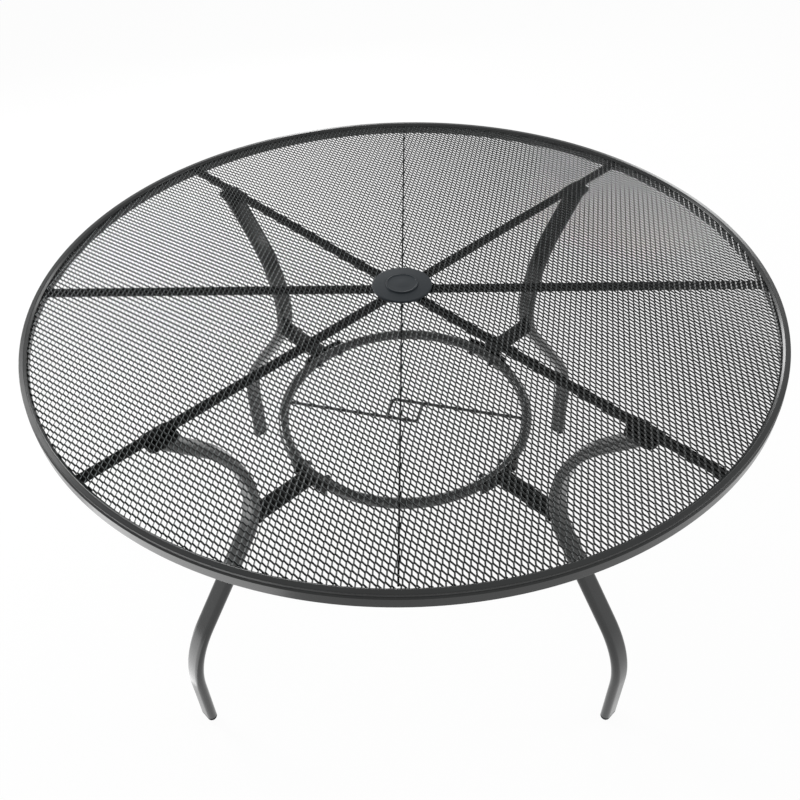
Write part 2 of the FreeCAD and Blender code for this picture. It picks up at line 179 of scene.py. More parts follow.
def surface(name, points, faces, smooth_angle):
    """Mesh from points and a list of face arrays, each array with one corner count.

    The faces are turned outwards: the signed volume, which sums a third of each face's
    first corner dotted with its area vector, is made positive by reversing every face.
    """
    points = np.asarray(points, np.float64).reshape(-1, 3)
    volume = 0.0
    for group in faces:
        corners = points[group]
        fan = np.cross(corners[:, 1:-1] - corners[:, :1], corners[:, 2:] - corners[:, :1])
        volume += np.einsum("ij,ij->", corners[:, 0], fan.sum(axis=1))
    if volume < 0:
        faces = [group[:, ::-1] for group in faces]
    loops = np.concatenate([group.ravel() for group in faces]).astype(np.int32)
    sizes = np.concatenate([np.full(len(group), group.shape[1]) for group in faces])
    starts = np.concatenate([[0], np.cumsum(sizes)[:-1]]).astype(np.int32)
    mesh = bpy.data.meshes.new(name)
    mesh.vertices.add(len(points))
    mesh.vertices.foreach_set("co", points.astype(np.float32).ravel())
    mesh.loops.add(len(loops))
    mesh.loops.foreach_set("vertex_index", loops)
    mesh.polygons.add(len(starts))
    mesh.polygons.foreach_set("loop_start", starts)
    mesh.update(calc_edges=True)
    mesh.validate()
    mesh.shade_smooth()
    mesh.set_sharp_from_angle(angle=math.radians(smooth_angle))
    return mesh


def piece(name, shape, smooth_angle, material, body="table", replaces=()):
    """Object for a shape of points and faces.

    It has its finish, rides on its body, fills its slot and stands for what it replaces.
    Edges that turn by more than the smooth angle, in degrees, stay sharp.
    """
    mesh = surface(name, *shape, smooth_angle)
    mesh.materials.append(bpy.data.materials[material])
    thing = bpy.data.objects.new(name, mesh)
    bpy.context.scene.collection.objects.link(thing)
    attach(thing, body)
    if replaces:
        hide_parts(*replaces)
    return thing


def second_finish(thing, material, marked):
    """Give the marked faces of a piece a second finish."""
    thing.data.materials.append(bpy.data.materials[material])
    thing.data.polygons.foreach_set("material_index", np.asarray(marked, np.int32))


def joined(parts):
    """Several (points, faces) shapes as one: each shape's corner numbers are shifted."""
    points, faces, shift = [], [], 0
    for shape_points, shape_faces in parts:
        flat = np.asarray(shape_points, float).reshape(-1, 3)
        points.append(flat)
        faces += [group + shift for group in shape_faces]
        shift += len(flat)
    return np.concatenate(points), faces


def tube_faces(stations, around, looped=False):
    """Quads between neighbouring outlines, with an end cap on each open end.

    Corner (i, j) is number i * around + j; each quad joins (i, j), (i, j+1), (i+1, j+1)
    and (i+1, j), where j, and on a loop also i, counts round to its start.
    """
    rows = stations if looped else stations - 1
    i, j = np.meshgrid(np.arange(rows), np.arange(around), indexing="ij")
    after_i = (i + 1) % stations
    after_j = (j + 1) % around
    quads = np.stack(
        [i * around + j, i * around + after_j, after_i * around + after_j, after_i * around + j],
        axis=-1).reshape(-1, 4)
    if looped:
        return [quads]
    first = np.arange(around)[None, ::-1]
    last = np.arange(around)[None, :] + (stations - 1) * around
    return [quads, first, last]


def rounded_rectangle(width, height, corner, steps):
    """Outline of a rectangle whose four corners are quarter circles of a given radius."""
    corner = min(corner, width / 2.0, height / 2.0)
    quarter = np.linspace(0.0, math.pi / 2.0, steps)[None, :]
    turn = quarter + np.arange(4)[:, None] * math.pi / 2.0
    sign_x = np.array([1, -1, -1, 1])[:, None]
    sign_y = np.array([1, 1, -1, -1])[:, None]
    x = sign_x * (width / 2.0 - corner) + corner * np.cos(turn)
    y = sign_y * (height / 2.0 - corner) + corner * np.sin(turn)
    return np.stack([x.ravel(), y.ravel()], axis=1)


def flat_oval(width, thickness):
    """Outline of a flat oval tube: two flats joined by half circles."""
    return rounded_rectangle(width, thickness, thickness / 2.0, 12)


def polygon_outline(sides, radius):
    """Outline of a regular polygon with its corners on a circle."""
    turn = np.arange(sides) * 2.0 * math.pi / sides
    return np.stack([radius * np.cos(turn), radius * np.sin(turn)], axis=1)


def hexagon_outline(count, across_flats, limit=math.inf):
    """Hexagon drawn with a given count of places, none further out than a limit.

    Each place reaches half the width across flats over the cosine of its angle from the
    middle of the nearest flat.
    """
    turn = np.arange(count) * 2.0 * math.pi / count
    sector = (turn % (math.pi / 3.0)) - math.pi / 6.0
    reach = np.minimum(across_flats / 2.0 / np.cos(sector), limit)
    return np.stack([reach * np.cos(turn), reach * np.sin(turn)], axis=1)


def softened(corners, cut, steps=4, held=False):
    """Closed outline with each corner drawn as a curve.

    The curve is a quadratic Bezier: it leaves the edge a cut's length before the corner,
    is pulled by the corner and meets the next edge a cut's length after it. With held one
    more place follows on each side of a curve, so that the flats beside it shade flat.
    No curve, with its held places, takes as much as half of an edge.
    """
    corners = np.asarray(corners, float)
    hold = 1.3
    most = 0.36 if held else 0.45
    cut = np.broadcast_to(np.asarray(cut, float), len(corners))[:, None]
    before = np.roll(corners, 1, axis=0) - corners
    after = np.roll(corners, -1, axis=0) - corners
    reach_before = np.minimum(cut, most * np.linalg.norm(before, axis=1, keepdims=True))
    reach_after = np.minimum(cut, most * np.linalg.norm(after, axis=1, keepdims=True))
    before = before / np.linalg.norm(before, axis=1, keepdims=True) * reach_before
    after = after / np.linalg.norm(after, axis=1, keepdims=True) * reach_after
    start, end = corners + before, corners + after
    s = np.linspace(0.0, 1.0, steps)[None, :, None]
    pull = 2 * s * (1 - s) * corners[:, None]
    curve = (1 - s) ** 2 * start[:, None] + pull + s**2 * end[:, None]
    if held:
        lead, tail = corners + hold * before, corners + hold * after
        curve = np.concatenate([lead[:, None], curve, tail[:, None]], axis=1)
    return curve.reshape(-1, 2)


def carried(centres, side, lift, outlines):
    """Outlines carried along a path: centre + u * side + v * lift for each outline (u, v)."""
    centres = np.asarray(centres, float)
    count = len(centres)
    side = np.broadcast_to(np.asarray(side, float), (count, 3))
    lift = np.broadcast_to(np.asarray(lift, float), (count, 3))
    outlines = np.asarray(outlines, float)
    outlines = np.broadcast_to(outlines, (count,) + outlines.shape[-2:])
    return (centres[:, None] + outlines[..., :1] * side[:, None]
            + outlines[..., 1:] * lift[:, None])


def closed_tube(grid, looped=False):
    """Points and faces of a grid of outlines."""
    return grid, tube_faces(grid.shape[0], grid.shape[1], looped)


def revolved(profile, segments):
    """Closed profile (radius, height) turned once about the Z axis."""
    profile = np.asarray(profile, float)
    turn = np.arange(segments)[:, None] * 2.0 * math.pi / segments
    grid = np.stack(
        [profile[None, :, 0] * np.cos(turn), profile[None, :, 0] * np.sin(turn),
         np.broadcast_to(profile[None, :, 1], (segments, len(profile)))], axis=-1)
    return closed_tube(grid, looped=True)


def turned(points, degrees):
    """Points turned about the Z axis: x cos - y sin, x sin + y cos."""
    points = np.asarray(points, float)
    c, s = math.cos(math.radians(degrees)), math.sin(math.radians(degrees))
    return points @ np.array([[c, s, 0.0], [-s, c, 0.0], [0.0, 0.0, 1.0]])


def spun(shape, azimuths):
    """Copies of one shape turned to each azimuth and joined."""
    points, faces = shape
    return joined([(turned(np.asarray(points).reshape(-1, 3), a), faces) for a in azimuths])


def stacked(outlines, levels, x):
    """Flat outlines stacked at given heights about a place on the X axis."""
    levels = np.asarray(levels, float)
    centres = np.stack([np.full(len(levels), x), np.zeros(len(levels)), levels], axis=1)
    return closed_tube(carried(centres, (1, 0, 0), (0, 1, 0), outlines))


# Weld beads: distance between their outlines, sides of an outline, and swell of a ripple
BEAD_STEP = 0.8 * MM
BEAD_SIDES = 8
BEAD_SWELL = 0.14


def bead(loop, radius, pitch=3.0 * MM):
    """Weld bead: a small circle carried round a closed loop.

    The circle swells and shrinks by a cosine of the distance run along the loop, one
    ripple for each pitch. Its plane holds the direction out from the loop's middle and
    the direction square to that and to the loop.
    """
    loop = np.asarray(loop, float)
    ahead = np.roll(loop, -1, axis=0) - np.roll(loop, 1, axis=0)
    ahead /= np.linalg.norm(ahead, axis=1, keepdims=True)
    out = loop - loop.mean(axis=0)
    out -= ahead * np.einsum("ij,ij->i", out, ahead)[:, None]
    out /= np.linalg.norm(out, axis=1, keepdims=True)
    square = np.cross(ahead, out)
    steps = np.linalg.norm(np.roll(loop, -1, axis=0) - loop, axis=1)
    run = np.concatenate([[0.0], np.cumsum(steps)[:-1]])
    ripples = max(1, round(steps.sum() / pitch))
    swell = 1.0 + BEAD_SWELL * np.cos(run / steps.sum() * 2.0 * math.pi * ripples)
    circle = polygon_outline(BEAD_SIDES, radius)[None] * swell[:, None, None]
    return closed_tube(carried(loop, out, square, circle), looped=True)


def evenly(loop, step):
    """Closed loop resampled at even distances along its length."""
    loop = np.asarray(loop, float)
    around = np.concatenate([loop, loop[:1]])
    run = np.concatenate([[0.0], np.cumsum(np.linalg.norm(np.diff(around, axis=0), axis=1))])
    count = max(12, int(run[-1] / step))
    places = np.arange(count) * run[-1] / count
    return np.stack([np.interp(places, run, around[:, k]) for k in range(3)], axis=1)


# ---------------------------------------------------------------- materials


def linear(code):
    """Linear colour of an sRGB hex value, with full opacity."""
    channels = [int(code[k:k + 2], 16) / 255.0 for k in (1, 3, 5)]
    curve = [c / 12.92 if c <= 0.04045 else ((c + 0.055) / 1.055) ** 2.4 for c in channels]
    return (*curve, 1.0)


def add_node(tree, kind, inputs=None, links=None, **settings):
    """One shader node with its settings, socket values and incoming links."""
    node = tree.nodes.new(kind)
    for key, value in settings.items():
        setattr(node, key, value)
    for key, value in (inputs or {}).items():
        node.inputs[key].default_value = value
    for key, source in (links or {}).items():
        tree.links.new(source, node.inputs[key])
    return node


def mottled(name, colours, tones, roughness, relief, sockets):
    """Material whose colour, roughness and relief each follow a noise.

    Tones and roughness are (size of the lumps, detail, low, high): the noise between 0.3
    and 0.7 is stretched from low to high, and tones blend the first colour into the
    second. Relief is (size of the lumps, detail, height, strength of the bump).
    """
    material = bpy.data.materials.new(name)
    material.use_nodes = True
    tree = material.node_tree
    tree.nodes.clear()
    place = add_node(tree, "ShaderNodeTexCoord").outputs["Object"]
    lumps = {}
    for size, detail in dict.fromkeys((tones[:2], roughness[:2], relief[:2])):
        lumps[size, detail] = add_node(
            tree, "ShaderNodeTexNoise", inputs={"Scale": 1.0 / size, "Detail": detail},
            links={"Vector": place}).outputs["Fac"]
    tone, rough = (
        add_node(
            tree, "ShaderNodeMapRange",
            inputs={"From Min": 0.3, "From Max": 0.7, "To Min": low, "To Max": high},
            links={"Value": lumps[size, detail]}).outputs["Result"]
        for size, detail, low, high in (tones, roughness))
    first, second = map(linear, colours)
    colour = add_node(
        tree, "ShaderNodeMix", data_type="RGBA", inputs={6: first, 7: second}, links={0: tone})
    height, strength = relief[2:]
    bump = add_node(
        tree, "ShaderNodeBump", inputs={"Strength": strength, "Distance": height},
        links={"Height": lumps[relief[:2]]})
    shader = add_node(
        tree, "ShaderNodeBsdfPrincipled", inputs=sockets,
        links={"Base Color": colour.outputs[2], "Roughness": rough,
               "Normal": bump.outputs["Normal"]})
    add_node(tree, "ShaderNodeOutputMaterial", links={"Surface": shader.outputs["BSDF"]})


def powder_coat(name, colours, roughness, orange_peel, specular, clear_coat):
    """Polyester powder coat on steel, baked on after spraying.

    It gives a dark satin skin with a soft, wide highlight and the faint orange peel of
    baked powder. The peel is really about 1 mm; it is drawn at 3 mm so that it shows.
    """
    mottled(
        name, colours, (90.0 * MM, 3.0, 0.0, 1.0),
        (90.0 * MM, 3.0, roughness - 0.04, roughness + 0.05),
        (3.0 * MM, 2.0, 0.15 * MM, orange_peel),
        {"IOR": 1.52, "Specular IOR Level": specular, "Coat Weight": clear_coat,
         "Coat Roughness": 0.22})


def moulded_plastic(name, colours, roughness):
    """Injection moulded polypropylene with a fine spark-eroded grain.

    It gives a cool dark grey with a dull sheen. The grain is about 0.2 mm; it is drawn
    at 1.2 mm so that it shows.
    """
    mottled(
        name, colours, (30.0 * MM, 3.0, 0.0, 0.35),
        (1.2 * MM, 2.0, roughness - 0.05, roughness + 0.07), (1.2 * MM, 2.0, 0.05 * MM, 0.5),
        {"IOR": 1.49, "Specular IOR Level": 0.1})


def black_oxide(name, colours):
    """Hot black oxide on steel fasteners, oiled: nearly black with a soft metal gleam."""
    smear = (6.0 * MM, 3.0)
    mottled(
        name, colours, (*smear, 0.0, 1.0), (*smear, 0.3, 0.45), (*smear, 0.05 * MM, 0.3),
        {"Metallic": 0.6})


def seen_directly(tree):
    """One for camera, glossy and transmission rays: the largest of the three marks."""
    path = add_node(tree, "ShaderNodeLightPath")
    seen = add_node(
        tree, "ShaderNodeMath", operation="MAXIMUM",
        links={0: path.outputs["Is Camera Ray"], 1: path.outputs["Is Glossy Ray"]})
    seen = add_node(
        tree, "ShaderNodeMath", operation="MAXIMUM",
        links={0: seen.outputs[0], 1: path.outputs["Is Transmission Ray"]})
    return seen.outputs[0]


def studio_floor(name, colour):
    """Pale matt floor, bright to the camera and in reflections, which keeps a soft shadow."""
    material = bpy.data.materials.new(name)
    material.use_nodes = True
    tree = material.node_tree
    tree.nodes.clear()
    paint = add_node(tree, "ShaderNodeBsdfDiffuse", inputs={"Color": linear(colour)})
    glow = add_node(
        tree, "ShaderNodeEmission", inputs={"Color": linear("#ffffff"), "Strength": 1.0})
    share = add_node(
        tree, "ShaderNodeMath", operation="MULTIPLY", inputs={1: 0.95},
        links={0: seen_directly(tree)})
    mix = add_node(
        tree, "ShaderNodeMixShader",
        links={0: share.outputs[0], 1: paint.outputs[0], 2: glow.outputs[0]})
    add_node(tree, "ShaderNodeOutputMaterial", links={"Surface": mix.outputs[0]})


class UMBRELLATABLE_OT_finishes(bpy.types.Operator):
    """Make the finishes and give each carried-over node its own."""

    bl_idname = "umbrella_table.finishes"
    bl_label = "Make Finishes"

    def execute(self, context):
        look = context.scene.table_finishes
        frame_colours = (look.coat, look.coat_shade)
        # Finish, colours, roughness, orange peel, specular level and clear coat
        for coat in (
            # Soft streaks of light run along the tubes
            (TUBE_COAT, frame_colours, 0.2, 0.08, 0.5, 0.2),
            # Nearly black, without a highlight; matched to the photograph. The dark colour is
            # painted shade, for the shade under the table top
            (PAINTED_SHADE_BAR_COAT, (look.painted_shade_bar_tone, look.painted_shade_bar_dark_tone), 0.38, 0.3, 0.05, 0.0),
            # As on the tubes, with less shine beside its bright lines
            (RIM_COAT, frame_colours, 0.2, 0.06, 0.3, 0.12),
            # Duller, so that the groove reads darker than the crown
            (GROOVE_COAT, (look.coat, look.groove_shade), 0.32, 0.1, 0.35, 0.05),
            # Dark faces with small glints
            (MESH_COAT, (look.mesh_coat,) * 2, 0.22, 0.1, 0.32, 0.0),
            # Paler than the faces: a painted glint along the slit edges
            (EDGE_GLINT_COAT, (look.slit_edge_glint,) * 2, 0.4, 0.1, 0.3, 0.0),
            # The rough bead breaks the sheen up
            (WELD_COAT, frame_colours, 0.42, 0.6, 0.3, 0.1),
        ):
            powder_coat(*coat)
        moulded_plastic(HUB_PLASTIC, (look.plastic, look.plastic_shade), 0.42)
        moulded_plastic(GLIDE_PLASTIC, (look.fasteners, look.plastic_shade), 0.5)
        black_oxide(OXIDE, (look.fasteners, look.fasteners_smear))
        studio_floor(FLOOR_PAINT, look.floor)
        # Carried-over frame nodes take the darker bar coat, whose colour is painted shade
        finish = {"dark_coated_steel": PAINTED_SHADE_BAR_COAT, "charcoal_plastic": HUB_PLASTIC,
                  "blackened_fasteners": OXIDE}
        for part in frame["record"]["subparts"]:
            node = frame["nodes"][part["node"]]
            for holder in node.material_slots:
                holder.material = bpy.data.materials[finish[part["material_slot"]]]
        return {"FINISHED"}


# ---------------------------------------------------------------- table top


# The strands of the expanded mesh run in two directions, turned from +X
STRAND_ANGLE_A = math.radians(80.4)
STRAND_ANGLE_B = math.radians(146.2)
# In half widths of a strand: how far its middle stands from a bond, and how far up its
# tilt the sheet's middle lies from the ledge, which sinks the low edges by 0.2 mm
BOND_SHARE = 0.84
SEAT_SHARE = 1.6
MESH_EDGE = CROWN_INNER - 0.3 * MM
MESH_HUB_EDGE = 38.0 * MM
SEAM_HALF_GAP = 0.35 * MM
HALVINGS = 16


def bond_places(sizes):
    """Bonds along each zigzag strip of the mesh.

    With a and b the two strand steps, strip k passes the bonds n(a + b) - k b, where it
    touches strip k - 1, and n(a + b) - k b + a, where it touches strip k + 1, in turn.
    """
    side = sizes.strand_side
    a = side * np.array([math.cos(STRAND_ANGLE_A), math.sin(STRAND_ANGLE_A)])
    b = side * np.array([math.cos(STRAND_ANGLE_B), math.sin(STRAND_ANGLE_B)])
    short_step = np.linalg.norm(a - b) / 2.0
    long_step = np.linalg.norm(a + b)
    strips = int(MESH_EDGE / short_step) + 2
    pairs = int(MESH_EDGE / long_step) + 3
    k = np.arange(-strips, strips + 1)[:, None]
    m = np.arange(4 * pairs)[None, :]
    n = m // 2 - pairs + k // 2
    odd = m % 2
    bonds = n[..., None] * (a + b) - k[..., None] * b + odd[..., None] * a
    across = (a - b) / np.linalg.norm(a - b)
    return bonds, odd, across


def strand_rings(sizes, shift):
    """Four corners of the strip at each bond.

    The strip's section is a thin rectangle tilted about the long way of the diamonds, so
    its high edge lies on the strip to one side and its low edge on the strip to the other.
    The centre therefore stands most of half a width away from each bond, to alternate
    sides.
    """
    bonds, odd, across = bond_places(sizes)
    c, s = math.cos(sizes.strand_tilt), math.sin(sizes.strand_tilt)
    wide = np.array([across[0] * c, across[1] * c, s])
    thick = np.array([-across[0] * s, -across[1] * s, c])
    half_width = sizes.strand_width / 2.0
    half_thick = sizes.strand_thickness / 2.0
    level = LEDGE_LEVEL + half_width * s * SEAT_SHARE + half_thick * c
    centres = np.concatenate(
        [bonds + shift, np.full(bonds.shape[:2] + (1,), level)], axis=-1)
    away = np.where(odd[..., None] == 0, 1.0, -1.0) * half_width * BOND_SHARE
    centres = centres + away * wide
    corners = np.array([[-1, -1], [1, -1], [1, 1], [-1, 1]], float)
    spread = corners[:, :1] * half_width * wide + corners[:, 1:] * half_thick * thick
    return centres[:, :, None] + spread


def inside_panel(points, side):
    """True where a place lies on the half disc, off the hub and off the seam."""
    radius = np.hypot(points[..., 0], points[..., 1])
    return ((radius < MESH_EDGE) & (radius > MESH_HUB_EDGE)
            & (side * points[..., 0] > SEAM_HALF_GAP))


def mesh_panel(sizes, side, shift):
    """Half disc of expanded mesh, every strand cut where it meets the panel's edge.

    A strand between two bonds inside the panel joins their rings. One that crosses the
    edge runs to the crossing, which halving the interval again and again finds, and is
    closed there. The third result numbers each face by its side of the strand: 1 and 3
    are the slit edges, and 0 and 2 the sheet's own faces. A closing face has 0.
    """
    rings = strand_rings(sizes, np.asarray(shift))
    centres = rings.mean(axis=2)
    inside = inside_panel(centres, side)
    number = np.full(inside.shape, -1)
    number[inside] = np.arange(inside.sum())
    points = [rings[inside]]
    quads = []

    def strips(first, second):
        """Four quads between two rings: side j takes corners j and j + 1 of each."""
        j = np.arange(4)
        after = (j + 1) % 4
        first, second = first[:, None] * 4, second[:, None] * 4
        four = [first + j, first + after, second + after, second + j]
        return np.stack(four, -1).reshape(-1, 4)

    here, there = inside[:, :-1], inside[:, 1:]
    whole = here & there
    quads.append(strips(number[:, :-1][whole], number[:, 1:][whole]))
    sides = [np.arange(len(quads[0])) % 4]
    count = int(inside.sum())
    for cut, forward in ((here & ~there, True), (~here & there, False)):
        kept = rings[:, :-1][cut] if forward else rings[:, 1:][cut]
        lost = rings[:, 1:][cut] if forward else rings[:, :-1][cut]
        low, high = np.zeros(len(kept)), np.ones(len(kept))
        for _ in range(HALVINGS):
            middle = (low + high) / 2.0
            place = (kept + (lost - kept) * middle[:, None, None]).mean(axis=1)
            good = inside_panel(place, side)
            low, high = np.where(good, middle, low), np.where(good, high, middle)
        new = kept + (lost - kept) * low[:, None, None]
        points.append(new)
        fresh = count + np.arange(len(new))
        count += len(new)
        bonded = number[:, :-1][cut] if forward else number[:, 1:][cut]
        quads.append(strips(bonded, fresh) if forward else strips(fresh, bonded))
        sides.append(np.arange(len(quads[-1])) % 4)
        cap = fresh[:, None] * 4 + (np.arange(4) if forward else np.arange(4)[::-1])
        quads.append(cap)
        sides.append(np.zeros(len(cap), np.int64))
    return np.concatenate(points), [np.concatenate(quads)], np.concatenate(sides)


class UMBRELLATABLE_OT_mesh(bpy.types.Operator):
    """Build the two half discs of expanded mesh."""

    bl_idname = "umbrella_table.mesh"
    bl_label = "Build Mesh"

    # The right half is cut from another place of the same sheet
    right_shift = (3.1 * MM, -2.2 * MM)

    def execute(self, context):
        sizes = context.scene.table_sizes
        for name, side, shift in (("left", -1, (0.0, 0.0)), ("right", 1, self.right_shift)):
            points, faces, sides = mesh_panel(sizes, side, shift)
            panel = piece("expanded_mesh_" + name, (points, faces), 30.0, MESH_COAT,
                          replaces=["mesh_panel_" + name])
            # The slit edges, sides 1 and 3, take the pale finish: a painted glint along each
            # strand
            second_finish(panel, EDGE_GLINT_COAT, sides % 2)
        return {"FINISHED"}


# Rolled rim: how deep its outer groove lies and how wide its inner bevel is
GROOVE_DEPTH = 8.0 * MM
CROWN_BEVEL = 3.6 * MM


def rim_profile():
    """Section of the rim: skirt, groove, flat crown, inner bevel, wall and ledge.

    The corners run up the outside, over the crown, down the inner wall round the ledge,
    and back along the inside of the rolled sheet.
    """
    wall = 1.2 * MM
    crown_outer = RIM_OUTER - 0.7 * MM
    groove = RIM_OUTER - 1.9 * MM
    shoulder = TOP_LEVEL - GROOVE_DEPTH
    wall_low = TOP_LEVEL - 20.0 * MM
    ledge_inner = CROWN_INNER - 1.6 * MM
    ledge_low = LEDGE_LEVEL - 2.0 * MM
    corners = [
        (RIM_OUTER, SKIRT_LOW), (RIM_OUTER, shoulder - 1.2 * MM), (groove, shoulder),
        (groove + 0.3 * MM, TOP_LEVEL - 3.2 * MM), (crown_outer, TOP_LEVEL - 1.2 * MM),
        (crown_outer - 0.6 * MM, TOP_LEVEL), (CROWN_INNER + CROWN_BEVEL, TOP_LEVEL),
        (CROWN_INNER, TOP_LEVEL - CROWN_BEVEL), (CROWN_INNER, LEDGE_LEVEL),
        (ledge_inner, LEDGE_LEVEL), (ledge_inner, ledge_low), (CROWN_INNER, ledge_low),
        (CROWN_INNER, wall_low), (CROWN_INNER + wall, wall_low),
        (CROWN_INNER + wall, TOP_LEVEL - CROWN_BEVEL - wall / 2.0),
        (CROWN_INNER + CROWN_BEVEL + wall / 2.0, TOP_LEVEL - wall),
        (groove - wall, TOP_LEVEL - wall), (groove - wall, shoulder - wall),
        (RIM_OUTER - wall, shoulder - 1.6 * wall), (RIM_OUTER - wall, SKIRT_LOW),
    ]
    cuts = [0.5, 0.5, 0.4, 0.8, 0.4, 0.3, 0.8, 0.8, 0.4, 0.4, 0.4, 0.4, 0.5, 0.5, 0.6, 0.6,
            0.6, 0.5, 0.4, 0.5]
    return softened(corners, np.array(cuts) * MM, held=True)


class UMBRELLATABLE_OT_rim(bpy.types.Operator):
    """Build the rolled rim."""

    bl_idname = "umbrella_table.rim"
    bl_label = "Build Rim"

    def execute(self, context):
        segments = context.scene.table_sizes.ring_segments
        rim = piece("rolled_rim", revolved(rim_profile(), segments), 35.0, RIM_COAT,
                    replaces=["rim"])
        middle = np.empty(len(rim.data.polygons) * 3)
        rim.data.polygons.foreach_get("center", middle)
        x, y, z = middle.reshape(-1, 3).T
        # The groove's faces, a little past its two bends
        outside = np.hypot(x, y) > RIM_OUTER - 2.4 * MM
        below_crown = z < TOP_LEVEL - 1.0 * MM
        above_skirt = z > TOP_LEVEL - GROOVE_DEPTH - 0.8 * MM
        second_finish(rim, GROOVE_COAT, outside & below_crown & above_skirt)
        return {"FINISHED"}


def loop_on_cylinder(outline, radius, centre_height):
    """Outline (y, z) laid on a cylinder about the Z axis: x is the root of r2 - y2."""
    y, z = outline[:, 0], outline[:, 1] + centre_height
    x = np.sqrt(radius**2 - y**2)
    return np.stack([x, y, z], axis=1)


BAR_CORNER = 1.8 * MM
BAR_SINK = 0.6 * MM
HUB_WALL = 3.0 * MM


class UMBRELLATABLE_OT_bars(bpy.types.Operator):
    """Build the six radial bars, the hub ring and their welds."""

    bl_idname = "umbrella_table.bars"
    bl_label = "Build Bars"

    def execute(self, context):
        width = BAR_HIGH.y - BAR_LOW.y
        height = BAR_HIGH.z - BAR_LOW.z
        level = (BAR_HIGH.z + BAR_LOW.z) / 2.0
        hub_radius = HUB_HIGH.x
        outline = rounded_rectangle(width, height, BAR_CORNER, 5)
        start, end = hub_radius - BAR_SINK, CROWN_INNER + BAR_SINK
        ends = np.array([[start, 0, level], [end, 0, level]])
        bar = closed_tube(carried(ends, (0, 1, 0), (0, 0, 1), outline))
        for name, azimuth in ALL_BARS.items():
            piece(name + "_tube", spun(bar, [azimuth]), 30.0, PAINTED_SHADE_BAR_COAT, replaces=[name])
        welds = joined([
            bead(evenly(loop_on_cylinder(outline, hub_radius, level), BEAD_STEP), 1.3 * MM),
            bead(evenly(loop_on_cylinder(outline, CROWN_INNER, level), BEAD_STEP), 1.0 * MM),
        ])
        piece("bar_welds", spun(welds, ALL_BARS.values()), 60.0, WELD_COAT)
        bore = hub_radius - HUB_WALL
        corners = [
            (bore, HUB_LOW.z), (hub_radius, HUB_LOW.z),
            (hub_radius, HUB_HIGH.z), (bore, HUB_HIGH.z)]
        segments = context.scene.table_sizes.ring_segments // 3
        piece("hub_sleeve", revolved(softened(corners, 0.5 * MM), segments), 35.0, PAINTED_SHADE_BAR_COAT,
              replaces=["hub_ring"])
        return {"FINISHED"}


def collar_profile():
    """Flanged collar: tube, flange with a rounded rim, gentle cone and cap seat."""
    bore, tube, seat, cone = 24.1 * MM, 27.6 * MM, 25.3 * MM, 31.0 * MM
    flange = COLLAR_HIGH.x
    under = PANEL_HIGH.z
    top = COLLAR_HIGH.z
    seat_low = top - 7.0 * MM
    corners = [
        (bore, COLLAR_LOW.z), (tube, COLLAR_LOW.z), (tube, under), (flange - 0.4 * MM, under),
        (flange, under + 1.5 * MM), (flange - 1.6 * MM, top - 0.6 * MM),
        (cone, top), (seat, top), (seat, seat_low), (bore, seat_low),
    ]
    cuts = [0.6, 0.6, 0.5, 0.3, 0.7, 1.2, 1.6, 0.5, 0.3, 0.5]
    return softened(corners, np.array(cuts) * MM, 5, held=True)


def cap_profile():
    """Cap: plug, round-edged head, raised lip and a shallow dish.

    The profile stops at a core about the axis, too thin to see, so that no face there
    loses a side.
    """
    core, dish = 0.02 * MM, 14.0 * MM
    plug, head = 25.05 * MM, CAP_HIGH.x
    seat = COLLAR_HIGH.z
    top = seat + 1.8 * MM
    low = CAP_LOW.z
    corners = [
        (core, low), (plug, low), (plug, seat), (head, seat), (head, top - 0.9 * MM),
        (head - 0.9 * MM, top), (head - 2.4 * MM, top), (head - 3.2 * MM, top - 0.7 * MM),
        (dish, top - 0.8 * MM), (core, top - 0.5 * MM),
    ]
    cuts = [0.0, 0.5, 0.3, 0.3, 0.5, 0.5, 0.4, 0.4, 3.0, 0.0]
    return softened(corners, np.array(cuts) * MM, 5, held=True)


class UMBRELLATABLE_OT_hub(bpy.types.Operator):
    """Build the collar of the umbrella hole and its lift-out cap."""

    bl_idname = "umbrella_table.hub"
    bl_label = "Build Hub"

    def execute(self, context):
        segments = context.scene.table_sizes.ring_segments // 2
        piece("hole_collar", revolved(collar_profile(), segments), 32.0, HUB_PLASTIC,
              replaces=["umbrella_collar"])
        piece("hole_cap", revolved(cap_profile(), segments), 32.0, HUB_PLASTIC, body="cap",
              replaces=["umbrella_cap"])
        return {"FINISHED"}


# ---------------------------------------------------------------- legs


# Centre line of a leg in its vertical plane
WAIST_RADIUS = 354.0 * MM
WAIST_LEVEL = 487.0 * MM
UPPER_BEND, UPPER_LEAN = 225.0 * MM, math.radians(44.0)
LOWER_BEND, LOWER_LEAN = 140.0 * MM, math.radians(37.0)
ANKLE_BEND = 230.0 * MM
FOOT_RADIUS = 537.0 * MM
FOOT_TOP = 9.0 * MM
# Pad under the bar: length, width and corner, how far it is shifted inwards, and screws
PAD_SIZE = (49.0 * MM, 38.0 * MM, 8.0 * MM)
PAD_SHIFT = 3.0 * MM
SCREW_PLACES = (-21.0 * MM, 17.0 * MM)


def bend(centre, radius, side, lean):
    """Places on a bend: its centre + side * radius * (cos lean, sin lean)."""
    return np.stack(
        [centre[0] + side * radius * np.cos(lean), centre[1] + side * radius * np.sin(lean)], 1)


